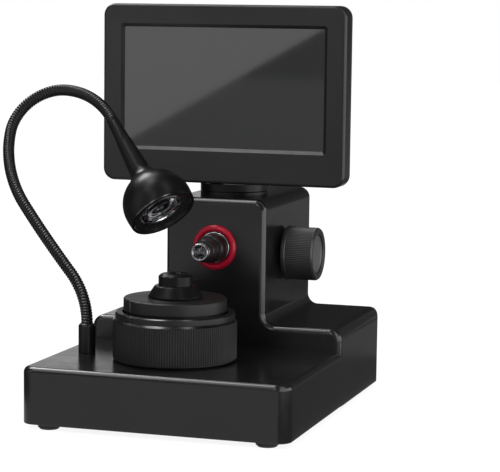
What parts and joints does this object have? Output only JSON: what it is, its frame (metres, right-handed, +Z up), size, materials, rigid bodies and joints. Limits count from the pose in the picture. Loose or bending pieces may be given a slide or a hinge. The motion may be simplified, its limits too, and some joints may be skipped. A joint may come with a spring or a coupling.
{
  "type": "lcd digital microscope",
  "caption": "Desktop digital microscope: moulded base, horizontal focusing lens, swivelling flat screen, adjustable stage with a stone holder, and a lamp on a flexible arm.",
  "frame": {"origin": "middle of the base's underside, on the bottom cover's flat face", "axes": "+X to the right as seen from the front, +Y back from the stage to the rear cover, +Z up"},
  "size_m": [0.156, 0.1576, 0.182],
  "materials": {
    "black_moulding": "fine satin-gloss black moulding",
    "base_plastic": "matt black moulding",
    "black_steel": "blackened steel",
    "foot_rubber": "matt black rubber",
    "cover_plastic": "matt black moulding",
    "circuit_board": "green solder mask",
    "white_board": "white solder mask",
    "inlet_plastic": "matt black",
    "switch_plastic": "matt black",
    "rocker_plastic": "gloss black",
    "plain_steel": "zinc-plated",
    "ground_steel": "ground bright",
    "magnet_plating": "nickel-plated",
    "red_plastic": "gloss red",
    "bright_bush": "polished",
    "black_anodised": "black anodised",
    "lens_ring_metal": "bright turned edge",
    "clear_glass": "clear",
    "display_dark": "gloss dark window over a blank display",
    "grey_casting": "as cast and machined",
    "gear_brass": "machined",
    "knob_plastic": "satin black, fluted",
    "knob_cap_plastic": "satin black end disc",
    "neck_plastic": "satin black",
    "screen_moulding": "satin black moulding",
    "stage_metal": "black",
    "ring_metal": "black anodised, knurled",
    "platform_metal": "black anodised",
    "holder_metal": "black anodised",
    "ferrule_metal": "black",
    "arm_metal": "black ribbed metal hose",
    "lamp_metal": "satin-gloss black",
    "reflector_plating": "vacuum-plated",
    "retainer_plastic": "gloss black"
  },
  "bodies": {
    "housing": {"base_housing": "black_moulding", "bottom_cover": "base_plastic", "bottom_cover_screws": "black_steel", "rubber_feet": "foot_rubber", "rear_cover": "cover_plastic", "rear_cover_screws": "black_steel", "main_board": "circuit_board", "power_inlet": "inlet_plastic", "switch_frame": "switch_plastic", "keeper_plate": "plain_steel", "red_ring": "red_plastic", "lens_bush": "bright_bush", "guide_rods": "ground_steel", "guide_bracket": "plain_steel", "bracket_screws": "plain_steel", "shaft_bush": "knob_plastic", "neck_base": "neck_plastic", "lamp_ferrule": "ferrule_metal", "ferrule_nut": "gear_brass"},
    "switch": {"switch_rocker": "rocker_plastic"},
    "lens_carriage": {"focus_carriage": "grey_casting", "focus_rack": "gear_brass", "lens_barrel": "black_anodised", "lens_front_ring": "lens_ring_metal", "objective_lens": "clear_glass", "camera_board": "circuit_board"},
    "focus_control": {"focus_shaft": "ground_steel", "focus_pinion": "gear_brass", "focus_knob": "knob_plastic", "knob_cap": "knob_cap_plastic"},
    "neck": {"turntable": "neck_plastic", "swivel_nut": "gear_brass", "tilt_pin": "ground_steel"},
    "screen": {"screen_bezel": "screen_moulding", "display_glass": "display_dark", "lcd_module": "plain_steel", "screen_board": "circuit_board", "screen_back_cover": "screen_moulding", "screen_screws": "black_steel"},
    "stage_base": {"stage_foot": "stage_metal", "stage_magnets": "magnet_plating"},
    "stage_ring": {"height_ring": "ring_metal", "ring_clip": "plain_steel"},
    "platform": {"stage_platform": "platform_metal"},
    "holder": {"stone_holder": "holder_metal"},
    "arm_lower": {"arm_root": "arm_metal"},
    "arm_middle": {"arm_rise": "arm_metal", "arm_lean": "arm_metal"},
    "arm_upper": {"arm_crown": "arm_metal", "arm_drop": "arm_metal"},
    "lamp": {"lamp_sleeve": "lamp_metal", "lamp_bell": "lamp_metal", "led_board": "white_board", "lamp_reflector": "reflector_plating", "lamp_lens": "clear_glass", "lens_retainer": "retainer_plastic"}
  },
  "joints": [
    {"name": "switch_rock", "type": "hinge", "parent": "housing", "child": "switch", "pos_m": [-0.03, 0.0749, 0.018], "axis": [1, 0, 0], "range_deg": [0, 14]},
    {"name": "lens_focus", "type": "slide", "parent": "housing", "child": "lens_carriage", "axis": [0, -1, 0], "range_m": [-0.005, 0.005]},
    {"name": "knob_turn", "type": "hinge", "parent": "housing", "child": "focus_control", "pos_m": [0.025, 0.0355, 0.065], "axis": [1, 0, 0], "range_deg": [-60, 60]},
    {"name": "screen_swivel", "type": "hinge", "parent": "housing", "child": "neck", "pos_m": [0, 0.0315, 0.095], "axis": [0, 0, 1], "range_deg": [-65, 5]},
    {"name": "screen_tilt", "type": "hinge", "parent": "neck", "child": "screen", "pos_m": [0, 0.0315, 0.106], "axis": [-1, 0, 0], "range_deg": [0, 30]},
    {"name": "stage_shift", "type": "slide", "parent": "housing", "child": "stage_base", "axis": [1, 0, 0], "range_m": [-0.008, 0.0124]},
    {"name": "ring_turn", "type": "hinge", "parent": "stage_base", "child": "stage_ring", "pos_m": [-0.0044, -0.0365, 0.035], "axis": [0, 0, 1], "range_deg": [-181, 181]},
    {"name": "platform_lift", "type": "slide", "parent": "stage_base", "child": "platform", "axis": [0, 0, 1], "range_m": [-0.004, 0.004]},
    {"name": "holder_turn", "type": "hinge", "parent": "platform", "child": "holder", "pos_m": [-0.0044, -0.0365, 0.0522], "axis": [0, 0, 1], "continuous": true},
    {"name": "arm_swing", "type": "hinge", "parent": "housing", "child": "arm_lower", "pos_m": [-0.0469, -0.0339, 0.0377], "axis": [0, 0, 1], "range_deg": [-10, 20]},
    {"name": "arm_bend", "type": "hinge", "parent": "arm_lower", "child": "arm_middle", "pos_m": [-0.05505, -0.03383, 0.06033], "axis": [-0.222, 0.975, 0], "range_deg": [-8, 4]},
    {"name": "arm_bend_upper", "type": "hinge", "parent": "arm_middle", "child": "arm_upper", "pos_m": [-0.0933, -0.01314, 0.12043], "axis": [-0.222, 0.975, 0], "range_deg": [-8, 4]},
    {"name": "lamp_bend", "type": "hinge", "parent": "arm_upper", "child": "lamp", "pos_m": [-0.04551, -0.00865, 0.1273], "axis": [-0.222, 0.975, 0], "range_deg": [-8, 4]}
  ],
  "couplings": [
    {"joint": "knob_turn", "follows": "lens_focus", "rad_per_m": 208.33},
    {"joint": "ring_turn", "follows": "platform_lift", "rad_per_m": -785.4},
    {"joint": "arm_bend_upper", "follows": "arm_bend", "ratio": 1},
    {"joint": "lamp_bend", "follows": "arm_bend", "ratio": 1}
  ]
}
